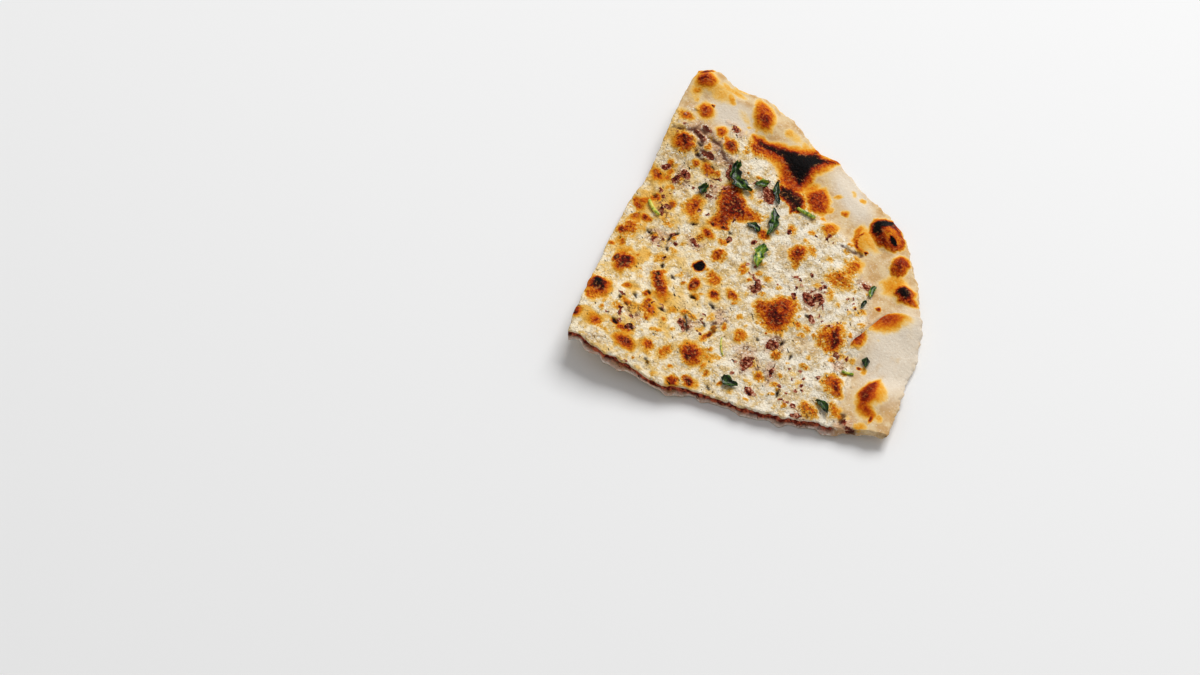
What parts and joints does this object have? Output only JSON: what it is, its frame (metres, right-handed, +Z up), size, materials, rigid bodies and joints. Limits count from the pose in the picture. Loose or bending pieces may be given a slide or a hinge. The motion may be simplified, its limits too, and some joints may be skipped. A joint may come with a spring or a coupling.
{
  "type": "paratha quarter",
  "caption": "Quarter of a round stuffed paratha, toasted and blistered, with chopped coriander on top. Lies flat with a curled tip and a wavy rim.",
  "frame": {"origin": "middle of the base of the whole object's box, on the surface that the bread lies on", "axes": "+Z up from the underside to the toasted face; +Y from the cut tip towards the round rim; +X to the right across the wedge"},
  "size_m": [0.1776, 0.1368, 0.0128],
  "materials": {
    "baked_dough": "dry-baked wheat dough, dull with a faint fat sheen on the toasted spots",
    "coriander_leaf": "wilted leaf, soft waxy sheen",
    "coriander_stem": "juicy stem, soft sheen"
  },
  "bodies": {
    "root": {"paratha_quarter": "baked_dough", "coriander_leaf_1": "coriander_leaf", "coriander_leaf_2": "coriander_leaf", "coriander_leaf_3": "coriander_leaf", "coriander_leaf_4": "coriander_leaf", "coriander_leaf_5": "coriander_leaf", "coriander_leaf_6": "coriander_leaf", "coriander_leaf_7": "coriander_leaf", "coriander_leaf_8": "coriander_leaf", "coriander_leaf_9": "coriander_leaf", "coriander_leaf_10": "coriander_leaf", "coriander_leaf_11": "coriander_leaf", "coriander_leaf_12": "coriander_leaf", "coriander_stem_1": "coriander_stem", "coriander_stem_2": "coriander_stem", "coriander_stem_3": "coriander_stem", "coriander_stem_4": "coriander_stem"}
  },
  "joints": []
}
